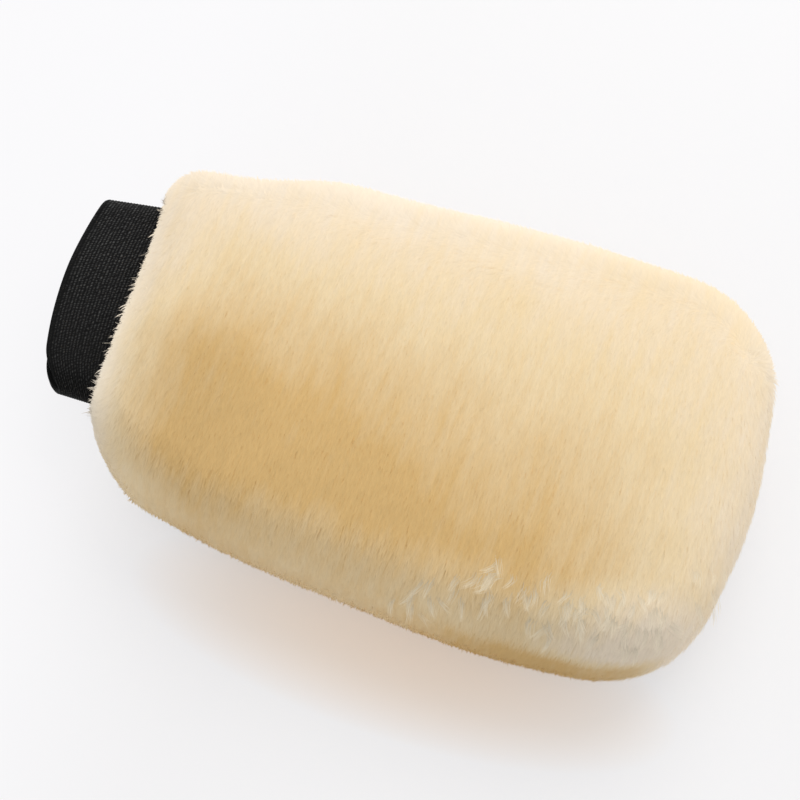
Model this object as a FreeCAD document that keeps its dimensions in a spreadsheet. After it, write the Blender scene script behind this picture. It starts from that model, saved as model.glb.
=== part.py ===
"""Wash mitt: a shorn sheepskin bag with a woven elastic cuff.

Two sheepskin panels, wool outwards, are sewn edge to edge with the edges turned in.  Each panel
is two nodes, its leather (the hide) and the wool that stands on it (the fleece).  A loop of
woven elastic is sewn inside the sleeve at the open end.

Frame: millimetres, +Z up.  The mitt lies on its palm side, fingertips towards +X and cuff
towards -X.  The origin is the middle of the whole mitt, on the surface it lies on.
"""
import FreeCAD, Part
import math
import os

import Sketcher
from FreeCAD import Rotation, Vector

SIZES = [
    # alias, value, what it is
    ("fleece_length", 256.0, "wool, from its wrist end to its fingertip end"),
    ("cuff_reach", 24.0, "how far the cuff stands out of the wool"),
    ("palm_width", 181.0, "wool across its widest place, before it is rounded"),
    ("wrist_taper", 35.0, "how much narrower the wool is across the wrist corners"),
    ("tip_taper", 5.0, "how much narrower it is across the fingertip corners"),
    ("widest_place", 152.0, "from the wrist end of the wool to its widest place"),
    ("wrist_corner", 34.0, "rounding of the wool's outline at the wrist"),
    ("side_bend", 400.0, "rounding of the wool's outline at its widest place"),
    ("tip_corner", 46.0, "rounding of the wool's outline at the fingertips"),
    ("seam_height", 31.0, "height of the side seam above the table"),
    ("back_height", 28.0, "wool above the side seam, at the middle of the back"),
    ("back_shoulder", 20.0, "wool above the side seam, where the back's crown meets the side"),
    ("back_round", 20.0, "rounding of the back's wool towards the seam"),
    ("palm_round", 24.0, "rounding of the palm's wool towards the seam"),
    ("side_pile", 18.0, "wool standing out from the edge of the leather"),
    ("hide_wall", 1.5, "thickness of the leather"),
    ("hand_gap", 17.0, "height of the pocket inside the leather"),
    ("hide_slope", 8.0, "how far the leather slopes down and out towards the seam"),
    ("seam_allowance", 6.0, "leather turned in along the side seam"),
    ("soft_gap", 0.3, "air left between soft pieces"),
    ("cuff_width", 87.0, "elastic loop laid flat"),
    ("cuff_wall", 2.2, "thickness of the elastic"),
    ("cuff_length", 50.0, "width of the elastic, along the wrist"),
    ("mouth_bow", 7.0, "how far the mouth's middle stands out past its folds"),
    ("sleeve_setback", 6.0, "from the wrist end of the wool to the edge of the leather"),
    ("thread", 0.9, "thickness of the sewing thread"),
    ("side_stitch", 6.5, "length of a stitch of the side seam"),
    ("cuff_stitch", 6.0, "length of a stitch that holds the cuff"),
    ("zigzag_width", 6.0, "width of the zigzag that closes the elastic into a loop"),
    ("zigzag_margin", 4.0, "from each edge of the elastic to that zigzag"),
]

SIDE_STITCHES = 36  # from one side of the sleeve, round the fingertips, to the other
CUFF_STITCHES = 9  # on each half of the cuff
ZIGZAG_STEPS = 10

doc = FreeCAD.newDocument("WashMitt")
sheet = doc.addObject("Spreadsheet::Sheet", "Sizes")
for row, (alias, value, note) in enumerate(SIZES, start=1):
    sheet.set(f"A{row}", alias)
    sheet.set(f"B{row}", str(value))
    sheet.setAlias(f"B{row}", alias)
    sheet.set(f"C{row}", note)
doc.recompute()

# Expressions on the sheet that several pieces share
TIP_X = "(Sizes.fleece_length + Sizes.cuff_reach) / 2"
MOUTH_X = f"(0 - {TIP_X})"
WRIST_X = f"({MOUTH_X} + Sizes.cuff_reach)"
WIDEST_X = f"({WRIST_X} + Sizes.widest_place)"
POCKET_INSET = "(Sizes.side_pile + Sizes.hide_wall)"
OPENING_INSET = f"({POCKET_INSET} + Sizes.seam_allowance)"
SEAM_INSET = f"({POCKET_INSET} + Sizes.seam_allowance / 2)"
HIDE_RISE = "(Sizes.hand_gap / 2 + Sizes.hide_wall)"
CUFF_THICK = "(Sizes.hand_gap - 2 * Sizes.soft_gap)"
SLEEVE_X = f"({WRIST_X} + Sizes.sleeve_setback)"
BORE_WIDTH = "(Sizes.cuff_width + 2 * Sizes.soft_gap)"
SLEEVE_WIDTH = f"({BORE_WIDTH} + 2 * Sizes.hide_wall)"
SLEEVE_REACH = "(Sizes.side_pile + 2 * Sizes.hide_slope)"
MITRE = "(2 - sqrt(2))"  # size of a 45 degree slope that lies against a rounding of 1
EASE = "(tan(22.5) - tan(11.25))"  # size of the two slopes beside it, against the same rounding

NODES = []


def worked(expression):
    """The number that an expression on the sheet comes to."""
    result = sheet.evalExpression(expression)
    return float(getattr(result, "Value", result))


# Sketches ----------------------------------------------------------------------------------------

def new_sketch(body, name, role):
    """A sketch on one of the body's own origin planes."""
    sketch = body.newObject("Sketcher::SketchObject", name)
    plane = next(plane for plane in body.Origin.OriginFeatures if plane.Role == role)
    sketch.AttachmentSupport = [(plane, "")]
    sketch.MapMode = "FlatFace"
    return sketch


def dimension(sketch, kind, places, expression):
    """A dimension of a sketch, tied to an expression on the sheet."""
    index = sketch.addConstraint(Sketcher.Constraint(kind, *places, worked(expression)))
    sketch.setExpression(f"Constraints[{index}]", expression)


def place_point(sketch, edge, end, x, y):
    """Ties a point of a sketch to two expressions, measured from the sketch's origin."""
    for kind, expression in (("DistanceX", x), ("DistanceY", y)):
        if worked(expression) >= 0:
            dimension(sketch, kind, (-1, 1, edge, end), expression)
        else:
            dimension(sketch, kind, (edge, end, -1, 1), f"0 - ({expression})")


def join_up(sketch, edges):
    """Joins each edge's end to the next one's start, all the way round."""
    for edge, following in zip(edges, edges[1:] + edges[:1]):
        sketch.addConstraint(Sketcher.Constraint("Coincident", edge, 2, following, 1))


def draw_lines(sketch, points):
    """Straight edges from point to point."""
    return [sketch.addGeometry(Part.LineSegment(start, end), False)
            for start, end in zip(points, points[1:])]


def draw_arc(sketch, centre, radius, start, end):
    circle = Part.Circle(centre, Vector(0, 0, 1), radius)
    return sketch.addGeometry(Part.ArcOfCircle(circle, start, end), False)


def outline_sketch(body, inset):
    """Plan outline of the mitt, drawn in from the edge of the wool by the inset."""
    corners = [
        (f"{WRIST_X} + {inset}", f"(Sizes.palm_width - Sizes.wrist_taper) / 2 - {inset}"),
        (WIDEST_X, f"Sizes.palm_width / 2 - {inset}"),
        (f"{TIP_X} - {inset}", f"(Sizes.palm_width - Sizes.tip_taper) / 2 - {inset}"),
    ]
    far = [Vector(worked(x), worked(y), 0) for x, y in corners]
    near = [Vector(point.x, -point.y, 0) for point in reversed(far)]
    sketch = new_sketch(body, body.Name + "Outline", "XY_Plane")
    edges = draw_lines(sketch, far + near + far[:1])
    join_up(sketch, edges)
    for edge, (x, y) in enumerate(corners):
        place_point(sketch, edge, 1, x, y)
        opposite = edges[-1] - edge
        sketch.addConstraint(Sketcher.Constraint("Symmetric", edge, 1, opposite, 1, -1))
    return sketch


def slot_loop(sketch, width, thick):
    """A closed slot about the sketch's origin: two straight runs and two round folds."""
    reach = f"({width} - {thick}) / 2"
    centre, radius = worked(reach), worked(f"{thick} / 2")
    quarter = math.pi / 2
    right = draw_arc(sketch, Vector(centre, 0, 0), radius, -quarter, quarter)
    top, = draw_lines(sketch, [Vector(centre, radius, 0), Vector(-centre, radius, 0)])
    left = draw_arc(sketch, Vector(-centre, 0, 0), radius, quarter, 3 * quarter)
    bottom, = draw_lines(sketch, [Vector(-centre, -radius, 0), Vector(centre, -radius, 0)])
    join_up(sketch, [right, top, left, bottom])
    dimension(sketch, "DistanceX", (-1, 1, right, 3), reach)
    dimension(sketch, "DistanceX", (left, 3, -1, 1), reach)
    for fold in (right, left):
        sketch.addConstraint(Sketcher.Constraint("PointOnObject", fold, 3, -1))
        sketch.addConstraint(Sketcher.Constraint("Vertical", fold, 1, fold, 3))
        sketch.addConstraint(Sketcher.Constraint("Vertical", fold, 2, fold, 3))
        dimension(sketch, "Radius", (fold,), f"{thick} / 2")


# Solids ------------------------------------------------------------------------------------------

def add_feature(body, kind, name, **settings):
    """Adds a feature to the end of a body.  A setting given as words is an expression."""
    feature = body.newObject(kind, name)
    for setting, value in settings.items():
        if setting == "Expressions":
            for goal, expression in value.items():
                feature.setExpression(goal, expression)
        else:
            setattr(feature, setting, value)
    body.Tip = feature
    doc.recompute()
    return feature


def dress_edges(body, name, wanted, **size):
    """Rounds or slopes the wanted edges, by a Radius or a Size tied to an expression."""
    kind = "PartDesign::Fillet" if "Radius" in size else "PartDesign::Chamfer"
    edges = [f"Edge{number}" for number, edge in enumerate(body.Tip.Shape.Edges, start=1) if wanted(edge)]
    add_feature(body, kind, name, Base=(body.Tip, edges), Expressions=size)


def half_bag(name, side, inset, rise, slope=None, bent=False):
    """A solid of the mitt's outline that stands on the plane of the side seam.

    side is +1 for the back, which rises from the seam, and -1 for the palm, which hangs from it.
    slope is cut along the edges away from the seam.  bent rounds the outline at its widest place.
    """
    body = doc.addObject("PartDesign::Body", name)
    add_feature(body, "PartDesign::Pad", name + "Pad", Profile=outline_sketch(body, inset),
                Reversed=side < 0, Expressions={"Length": rise})
    corners = [
        ("Wrist", f"{WRIST_X} + {inset}", "wrist_corner"),
        ("Tip", f"{TIP_X} - {inset}", "tip_corner"),
    ]
    if bent:
        corners.append(("Side", WIDEST_X, "side_bend"))
    for label, place, radius in corners:
        x = worked(place)
        dress_edges(body, name + label, lambda edge: stands_at(edge, x),
                    Radius=f"Sizes.{radius} - {inset}")
    if slope:
        dress_edges(body, name + "Rim", away_from_seam, Size=slope)
    body.setExpression(".Placement.Base.z", "Sizes.seam_height")
    doc.recompute()
    return body


def crown_cut(body, rise, shoulder):
    """Cuts the top down to an arch along the mitt, from its middle to a shoulder on each side."""
    half, fall = "(Sizes.palm_width / 2)", f"({rise} - {shoulder})"
    bend = f"(({half} ^ 2 + {fall} ^ 2) / (2 * {fall}))"
    side, top = f"({half} + {shoulder})", f"({rise} + {shoulder})"
    radius, reach = worked(bend), worked(side)
    spread = math.asin(reach / radius)
    foot = worked(rise) - radius + math.sqrt(radius**2 - reach**2)
    sketch = new_sketch(body, body.Name + "Crown", "YZ_Plane")
    middle = Vector(0, worked(rise) - radius, 0)
    arc = draw_arc(sketch, middle, radius, math.pi / 2 - spread, math.pi / 2 + spread)
    corners = [Vector(-reach, foot, 0), Vector(-reach, worked(top), 0),
               Vector(reach, worked(top), 0), Vector(reach, foot, 0)]
    left, lid, right = draw_lines(sketch, corners)
    join_up(sketch, [arc, left, lid, right])
    sketch.addConstraint(Sketcher.Constraint("PointOnObject", arc, 3, -2))
    dimension(sketch, "Radius", (arc,), bend)
    dimension(sketch, "DistanceY", (arc, 3, -1, 1), f"{bend} - {rise}")
    place_point(sketch, lid, 1, f"0 - {side}", top)
    place_point(sketch, lid, 2, side, top)
    for run in (left, right):
        sketch.addConstraint(Sketcher.Constraint("Vertical", run))
    before = body.Shape.Volume
    add_feature(body, "PartDesign::Pocket", body.Name + "CrownCut", Profile=sketch,
                Type="ThroughAll", Midplane=True)
    if body.Shape.Volume >= before:
        raise RuntimeError("the crown cut nothing")


def stands_at(edge, x):
    """Whether an edge is upright, at this x."""
    start, end = (vertex.Point for vertex in edge.Vertexes)
    near = 1e-4
    return abs(start.x - x) < near and abs(end.x - x) < near and abs(start.y - end.y) < near


def away_from_seam(edge):
    return min(abs(vertex.Z) for vertex in edge.Vertexes) > 1e-6


def runs_round(edge):
    """Whether an edge is away from the seam, and goes round the mitt rather than up its side."""
    start, end = (edge.Vertexes[place].Point for place in (0, -1))
    return away_from_seam(edge) and abs(end.z - start.z) < (end - start).Length / 3


def round_off(body, radius):
    """Takes the edges away from the seam down to slopes that lie against a rounding."""
    dress_edges(body, body.Name + "Slope", runs_round, Size=f"{MITRE} * {radius}")
    dress_edges(body, body.Name + "Ease", runs_round, Size=f"{EASE} * {radius}")


def tube(name, start, length, *loops):
    """A slot, or a loop between two slots, run along the wrist."""
    body = doc.addObject("PartDesign::Body", name)
    sketch = new_sketch(body, name + "Section", "YZ_Plane")
    for loop in loops:
        slot_loop(sketch, *loop)
    add_feature(body, "PartDesign::Pad", name + "Pad", Profile=sketch, Expressions={"Length": length})
    body.setExpression(".Placement.Base.x", start)
    body.setExpression(".Placement.Base.z", "Sizes.seam_height")
    doc.recompute()
    return body


def half_space(name, side, offset="0"):
    """A box over the whole mitt on one side of the seam's plane, or of a plane offset from it."""
    span = "(2 * Sizes.fleece_length)"
    box = doc.addObject("Part::Box", name)
    for edge in ("Length", "Width", "Height"):
        box.setExpression(edge, span)
    for axis in ("x", "y"):
        box.setExpression(f".Placement.Base.{axis}", f"0 - {span} / 2")
    lowest = f"Sizes.seam_height + {offset}" if side > 0 else f"Sizes.seam_height - {offset} - {span}"
    box.setExpression(".Placement.Base.z", lowest)
    return box


def fuse(name, *pieces):
    result = doc.addObject("Part::MultiFuse", name)
    result.Shapes = list(pieces)
    return result


def common(name, base, tool):
    result = doc.addObject("Part::Common", name)
    result.Base, result.Tool = base, tool
    return result


def cut(name, base, *tools):
    result = doc.addObject("Part::Cut", name)
    result.Base = base
    result.Tool = tools[0] if len(tools) == 1 else fuse(name + "Tools", *tools)
    return result


def node(piece, label):
    piece.Label = label
    NODES.append(piece)
    return piece


# Sewing: a stitch is a leg through two layers, with a bar of thread on each face -----------------

WALK_STEPS = 2000  # points that the seam's length is walked by


def block(centre, along, normal, length, width, height):
    """A box about a centre, its length and its height along two given directions."""
    box = Part.makeBox(length, width, height, Vector(-length / 2, -width / 2, -height / 2))
    box.Placement = FreeCAD.Placement(centre, Rotation(along, normal.cross(along), normal, "ZXY"))
    return box


def stitch_leg(place, grip):
    thread = worked("Sizes.thread")
    return block(*place, thread, thread, grip)


def stitch_solid(place, grip, length):
    centre, along, normal = place
    thread = worked("Sizes.thread")
    lift = normal * ((grip + thread) / 2)
    bars = [block(centre + lift * face, along, normal, length, thread, thread) for face in (1, -1)]
    return stitch_leg(place, grip).multiFuse(bars).removeSplitter()


def side_seam_places():
    """Stitches along the turned-in edges: (middle of the two layers, direction, normal)."""
    guide = half_bag("SeamGuide", 1, SEAM_INSET, "Sizes.hide_wall")
    rim = min(guide.Shape.Faces, key=lambda face: face.CenterOfMass.z).OuterWire
    wrist_middle = Vector(worked(f"{WRIST_X} + {SEAM_INSET}"), 0, worked("Sizes.seam_height"))
    walk = rim.discretize(Number=WALK_STEPS + 1)[:-1]
    first = min(range(WALK_STEPS), key=lambda step: walk[step].distanceToPoint(wrist_middle))
    walk = walk[first:] + walk[:first]
    past_sleeve = worked(f"({SLEEVE_WIDTH} + Sizes.side_stitch) / 2")
    start = next(step for step, point in enumerate(walk) if abs(point.y) > past_sleeve)
    places = []
    for number in range(SIDE_STITCHES):
        step = start + round((WALK_STEPS - 2 * start) * number / (SIDE_STITCHES - 1))
        along = (walk[step + 1] - walk[step - 1]).normalize()
        places.append((walk[step], along, Vector(0, 0, 1)))
    return places


def cuff_seam_places():
    """Stitches round the sleeve: (middle of the leather and elastic, direction, normal)."""
    radius = worked(f"{HIDE_RISE} - {CUFF_GRIP} / 2")
    reach = worked(f"({BORE_WIDTH} - Sizes.hand_gap) / 2")
    x = worked(f"{SLEEVE_X} + Sizes.cuff_stitch")
    height = worked("Sizes.seam_height")
    half_turn = 2 * reach + math.pi * radius
    places = []
    for number in range(CUFF_STITCHES):
        walked = (number + 0.5) * half_turn / CUFF_STITCHES
        if walked < 2 * reach:
            across, normal = reach - walked, Vector(0, 0, 1)
        else:
            angle = math.pi / 2 + (walked - 2 * reach) / radius
            across, normal = -reach, Vector(0, math.cos(angle), math.sin(angle))
        offset = Vector(0, across, 0) + normal * radius
        for turn in (1, -1):
            places.append((Vector(x, 0, height) + offset * turn, Vector(1, 0, 0), normal * turn))
    return places


def sewn(name, label, places, grip, length):
    """The stitches of one seam, and the slits that the needle makes for them."""
    stitches = doc.addObject("Part::Feature", name)
    stitches.Shape = Part.makeCompound([stitch_solid(place, grip, length) for place in places])
    node(stitches, label)
    slits = doc.addObject("Part::Feature", name + "Slits")
    slits.Shape = Part.makeCompound([stitch_leg(place, grip) for place in places])
    return slits


CUFF_GRIP = "(Sizes.hide_wall + Sizes.soft_gap + Sizes.cuff_wall)"
side_slits = sewn("SideSeam", "side_seam_stitches", side_seam_places(),
                  worked("2 * Sizes.hide_wall"), worked("Sizes.side_stitch"))
cuff_slits = sewn("CuffSeam", "cuff_seam_stitches", cuff_seam_places(),
                  worked(CUFF_GRIP), worked("Sizes.cuff_stitch"))

# Leather: each hide is half of the bag and half of the sleeve, its edge turned in -----------------

sleeve = tube("Sleeve", SLEEVE_X, f"{SLEEVE_REACH} - Sizes.sleeve_setback",
              (SLEEVE_WIDTH, f"(2 * {HIDE_RISE})"))
sleeve_bore = tube("SleeveBore", WRIST_X, SLEEVE_REACH, (BORE_WIDTH, "Sizes.hand_gap"))


def hide(label, side):
    name = label.title().replace("_", "")
    skin = half_bag(name + "Skin", side, "Sizes.side_pile", HIDE_RISE, slope="Sizes.hide_slope")
    half_sleeve = common(name + "Sleeve", sleeve, half_space(name + "Half", side))
    room = half_bag(name + "Room", side, POCKET_INSET, "(Sizes.hand_gap / 2)",
                    slope=f"Sizes.hide_slope - {MITRE} * Sizes.hide_wall")
    past_turn = common(name + "PastTurn", room, half_space(name + "Past", side, "Sizes.hide_wall"))
    opening = half_bag(name + "Opening", side, OPENING_INSET, "(2 * Sizes.hide_wall)")
    bag = fuse(name + "Bag", skin, half_sleeve)
    node(cut(name, bag, past_turn, opening, sleeve_bore, side_slits, cuff_slits), label)


hide("back_hide", 1)
hide("palm_hide", -1)

# Wool: each fleece is half of the mitt, hollowed for the leather and for the cuff -----------------

wool_gap = "(2 * (Sizes.thread + Sizes.soft_gap))"
fleece_mouth = tube("FleeceMouth", f"({WRIST_X} - Sizes.side_pile)",
                    f"Sizes.side_pile + {SLEEVE_REACH}",
                    (f"({SLEEVE_WIDTH} + {wool_gap})", f"(2 * {HIDE_RISE} + {wool_gap})"))


def fleece(label, side, rise, rounding, shoulder=None):
    name = label.title().replace("_", "")
    wool = half_bag(name + "Wool", side, "0", rise, bent=True)
    if shoulder:
        crown_cut(wool, rise, shoulder)
    round_off(wool, rounding)
    bed = half_bag(name + "Bed", side, "(Sizes.side_pile - Sizes.soft_gap)",
                   f"({HIDE_RISE} + Sizes.soft_gap)",
                   f"Sizes.hide_slope + {MITRE} * Sizes.soft_gap")
    node(cut(name, wool, bed, fleece_mouth), label)


fleece("back_fleece", 1, "Sizes.back_height", "min(Sizes.back_round; Sizes.back_shoulder)",
       "Sizes.back_shoulder")
fleece("palm_fleece", -1, "Sizes.seam_height", "Sizes.palm_round")

# Cuff: a loop of elastic whose ends meet under the wrist, closed by a zigzag ----------------------


def cuff_loop():
    """The loop, with its mouth bowed outwards between the two folds."""
    inner = ("(Sizes.cuff_width - 2 * Sizes.cuff_wall)", f"({CUFF_THICK} - 2 * Sizes.cuff_wall)")
    body = tube("CuffLoop", MOUTH_X, "Sizes.cuff_length", ("Sizes.cuff_width", CUFF_THICK), inner)
    side = "(Sizes.cuff_width / 2 + Sizes.cuff_wall)"
    front = "(0 - Sizes.cuff_wall)"
    bend = "((Sizes.cuff_width ^ 2 / 4 + Sizes.mouth_bow ^ 2) / (2 * Sizes.mouth_bow))"
    radius, half = worked(bend), worked(side)
    spread = math.asin(half / radius)
    recess = radius - math.sqrt(radius**2 - half**2)
    sketch = new_sketch(body, "MouthBow", "XY_Plane")
    arc = draw_arc(sketch, Vector(radius, 0, 0), radius, math.pi - spread, math.pi + spread)
    corners = [Vector(recess, -half, 0), Vector(worked(front), -half, 0),
               Vector(worked(front), half, 0), Vector(recess, half, 0)]
    near, end, far = draw_lines(sketch, corners)
    join_up(sketch, [arc, near, end, far])
    sketch.addConstraint(Sketcher.Constraint("PointOnObject", arc, 3, -1))
    dimension(sketch, "Radius", (arc,), bend)
    dimension(sketch, "DistanceX", (-1, 1, arc, 3), bend)
    place_point(sketch, end, 1, front, f"0 - {side}")
    place_point(sketch, end, 2, front, side)
    for run in (near, far):
        sketch.addConstraint(Sketcher.Constraint("Horizontal", run))
    before = body.Shape.Volume
    add_feature(body, "PartDesign::Pocket", "MouthBowCut", Profile=sketch, Type="ThroughAll",
                Midplane=True)
    if body.Shape.Volume >= before:
        raise RuntimeError("the mouth's bow cut nothing")
    return body


def zigzag_thread():
    """The zigzag that joins the elastic's two ends, sunk into its underside."""
    thread, sway = worked("Sizes.thread"), worked("Sizes.zigzag_width") / 2
    last = worked(f"{MOUTH_X} + Sizes.cuff_length - Sizes.zigzag_margin")
    first = worked(f"{MOUTH_X} + Sizes.zigzag_margin")
    under = worked(f"Sizes.seam_height - {CUFF_THICK} / 2 + Sizes.thread / 2")
    points = [Vector(first + (last - first) * number / ZIGZAG_STEPS, sway * (-1) ** number, under)
              for number in range(ZIGZAG_STEPS + 1)]
    up = Vector(0, 0, 1)
    runs = []
    for start, end in zip(points, points[1:]):
        along = end - start
        runs.append(block((start + end) / 2, along.normalize(), up, (end - start).Length + thread,
                          thread, thread))
    return runs[0].multiFuse(runs[1:]).removeSplitter()


zigzag = doc.addObject("Part::Feature", "Zigzag")
zigzag.Shape = zigzag_thread()
node(zigzag, "cuff_joint_stitches")

ends_gap = doc.addObject("Part::Box", "EndsGap")
ends_gap.setExpression("Length", "2 * Sizes.cuff_length")
ends_gap.setExpression("Width", "Sizes.soft_gap")
ends_gap.setExpression("Height", CUFF_THICK)
ends_gap.setExpression(".Placement.Base.x", f"{MOUTH_X} - Sizes.cuff_length / 2")
ends_gap.setExpression(".Placement.Base.y", "0 - Sizes.soft_gap / 2")
ends_gap.setExpression(".Placement.Base.z", f"Sizes.seam_height - {CUFF_THICK}")
node(cut("CuffBand", cuff_loop(), ends_gap, zigzag, cuff_slits), "cuff_band")

# Checks and files --------------------------------------------------------------------------------

doc.recompute()
for piece in doc.Objects:
    if "Invalid" in piece.State or "Error" in piece.State:
        raise RuntimeError(f"{piece.Label} did not compute: {piece.State}")
os.makedirs("parts", exist_ok=True)
for piece in NODES:
    if piece.Shape.isNull() or not piece.Shape.isValid():
        raise RuntimeError(f"{piece.Label} has no valid shape")
    piece.Shape.exportStep(f"parts/{piece.Label}.step")
    box = piece.Shape.BoundBox
    print(f"{piece.Label}: {len(piece.Shape.Solids)} solids, {piece.Shape.Volume:.0f} mm3, "
          f"x {box.XMin:.1f} to {box.XMax:.1f}, y {box.YMin:.1f} to {box.YMax:.1f}, "
          f"z {box.ZMin:.1f} to {box.ZMax:.1f}")
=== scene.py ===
import math

import bmesh
import bpy
import numpy as np
from mathutils import Matrix, Vector
from mathutils.bvhtree import BVHTree
from mathutils.kdtree import KDTree


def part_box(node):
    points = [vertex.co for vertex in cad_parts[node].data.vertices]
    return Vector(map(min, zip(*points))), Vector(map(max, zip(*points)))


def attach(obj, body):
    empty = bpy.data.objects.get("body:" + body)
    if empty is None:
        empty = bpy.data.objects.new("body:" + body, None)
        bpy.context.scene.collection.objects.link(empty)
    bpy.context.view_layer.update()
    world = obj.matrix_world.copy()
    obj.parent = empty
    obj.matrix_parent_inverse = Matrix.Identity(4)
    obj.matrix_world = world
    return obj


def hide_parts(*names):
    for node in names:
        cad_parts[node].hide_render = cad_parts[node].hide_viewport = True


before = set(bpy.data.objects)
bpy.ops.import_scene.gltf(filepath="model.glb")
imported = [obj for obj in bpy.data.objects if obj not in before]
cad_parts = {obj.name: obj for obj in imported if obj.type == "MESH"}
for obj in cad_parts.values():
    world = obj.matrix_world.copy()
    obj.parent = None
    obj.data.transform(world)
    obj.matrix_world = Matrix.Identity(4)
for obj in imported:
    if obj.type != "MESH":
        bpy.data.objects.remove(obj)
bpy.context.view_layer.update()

MM = 0.001
FULL_TURN = 2 * math.pi

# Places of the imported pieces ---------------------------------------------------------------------

WOOL_HALVES = ("back_fleece", "palm_fleece")
wool_low, wool_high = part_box("palm_fleece")[0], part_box("back_fleece")[1]
WOOL_MIDDLE = (wool_low + wool_high) / 2
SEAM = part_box("back_fleece")[0].z  # height of the side seam


def add_object(name, data):
    """A new object in the scene, from its mesh, lamp or camera."""
    item = bpy.data.objects.new(name, data)
    bpy.context.scene.collection.objects.link(item)
    return item


# Camera ------------------------------------------------------------------------------------------

VIEW_AZIMUTH, VIEW_ELEVATION, VIEW_ROLL = 4.0, 62.0, 14.2  # degrees
VIEW_DISTANCE = 0.975  # metres
LENS, SENSOR = 112.5, 36.0  # millimetres
AIM_HEIGHT, AIM_LEFT, AIM_UP = 28, 12.4, 3.8  # millimetres, from the wool's middle on the table


def aim_camera():
    """Looks down on the back of the mitt, over its near side, with the cuff high on the left."""
    azimuth, elevation = math.radians(VIEW_AZIMUTH), math.radians(VIEW_ELEVATION)
    roll = math.radians(VIEW_ROLL)
    forward = Vector((-math.sin(azimuth) * math.cos(elevation),
                      math.cos(azimuth) * math.cos(elevation), -math.sin(elevation)))
    right = Vector((math.cos(azimuth), math.sin(azimuth), 0))
    up = right.cross(forward)
    turned_right = right * math.cos(roll) + up * math.sin(roll)
    turned_up = up * math.cos(roll) - right * math.sin(roll)
    aim = Vector((WOOL_MIDDLE.x, 0, AIM_HEIGHT * MM))
    aim = aim - turned_right * AIM_LEFT * MM + turned_up * AIM_UP * MM
    data = bpy.data.cameras.new("Camera")
    data.lens, data.sensor_width = LENS, SENSOR
    data.clip_start, data.clip_end = 0.05, 20
    camera = add_object("Camera", data)
    turned = Matrix((turned_right, turned_up, -forward)).transposed().to_4x4()
    camera.matrix_world = Matrix.Translation(aim - forward * VIEW_DISTANCE) @ turned
    bpy.context.scene.camera = camera


bpy.context.scene.view_settings.view_transform = "Standard"
aim_camera()


# Shader sums written as expressions --------------------------------------------------------------

class Wire:
    """An output socket that can be reckoned with like a number."""

    def __init__(self, recipe, socket):
        self.recipe, self.socket = recipe, socket

    def __add__(self, other):
        return self.recipe.math("ADD", self, other)

    def __radd__(self, other):
        return self.recipe.math("ADD", other, self)

    def __sub__(self, other):
        return self.recipe.math("SUBTRACT", self, other)

    def __rsub__(self, other):
        return self.recipe.math("SUBTRACT", other, self)

    def __mul__(self, other):
        return self.recipe.math("MULTIPLY", self, other)

    def __rmul__(self, other):
        return self.recipe.math("MULTIPLY", other, self)

    def __truediv__(self, other):
        return self.recipe.math("DIVIDE", self, other)

    def __rtruediv__(self, other):
        return self.recipe.math("DIVIDE", other, self)

    def held(self):
        """The value, kept between 0 and 1."""
        return self.recipe.math("ADD", self, 0.0, clamp=True)

    def at_least(self, least):
        return self.recipe.math("MAXIMUM", self, least)

    def at_most(self, most):
        return self.recipe.math("MINIMUM", self, most)

    def sine(self):
        return self.recipe.math("SINE", self)

    def cosine(self):
        return self.recipe.math("COSINE", self)

    def ramp(self, low, high):
        """0 below low, 1 above high, smooth between."""
        return self.recipe.add("MapRange", {"interpolation_type": "SMOOTHSTEP"},
                               {"Value": self, "From Min": low, "From Max": high})


class Recipe:
    """A material, built up node by node."""

    def __init__(self, name):
        self.material = bpy.data.materials.new(name)
        self.material.use_nodes = True
        self.tree = self.material.node_tree
        self.tree.nodes.clear()

    def add(self, kind, settings=None, sockets=None, output=0):
        """A new node with its settings and sockets, and the output of it that is wanted."""
        node = self.tree.nodes.new("ShaderNode" + kind)
        for name, value in (settings or {}).items():
            setattr(node, name, value)
        for name, value in (sockets or {}).items():
            if isinstance(value, Wire):
                self.tree.links.new(value.socket, node.inputs[name])
            else:
                node.inputs[name].default_value = value
        return Wire(self, node.outputs[output]) if len(node.outputs) else None

    def math(self, operation, *values, clamp=False):
        """One sum on numbers or on the outputs of nodes."""
        return self.add("Math", {"operation": operation, "use_clamp": clamp},
                        dict(enumerate(values)))

    def place(self):
        """Object coordinates, in millimetres."""
        return self.add("VectorMath", {"operation": "SCALE"},
                        {0: self.add("TexCoord", output=3), "Scale": 1 / MM})

    def stretched(self, vector, stretch, turn):
        """The vector turned about Z and divided by the stretch, for a grain that runs one way."""
        return self.add("Mapping", {"vector_type": "TEXTURE"},
                        {"Vector": vector, "Rotation": (0, 0, turn), "Scale": stretch})

    def noise(self, vector, size, detail):
        """Soft blotches about as large as size, in the vector's own units."""
        return self.add("TexNoise", {}, {"Vector": vector, "Scale": 1 / size, "Detail": detail})

    def parts(self, vector):
        """The three numbers of a vector."""
        split = self.add("SeparateXYZ", {}, {0: vector}).socket.node
        return [Wire(self, socket) for socket in split.outputs]

    def spot(self, x, y, middle, reach):
        """1 at the middle of an oval patch, falling to 0 at its rim."""
        across, along = (x - middle[0]) / reach[0], (y - middle[1]) / reach[1]
        return (1.0 - (across * across + along * along)).held()

    def blend(self, share, first, second):
        """A colour that goes from the first to the second as share goes from 0 to 1."""
        return self.add("Mix", {"data_type": "RGBA"}, {0: share, 6: first, 7: second}, output=2)

    def bump(self, height, strength, distance):
        """Relief as deep as the distance where the height is 1."""
        return self.add("Bump", {}, {"Height": height, "Strength": strength, "Distance": distance})

    def finish(self, surface):
        """The finished material."""
        self.add("OutputMaterial", {}, {"Surface": surface})
        return self.material


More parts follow.
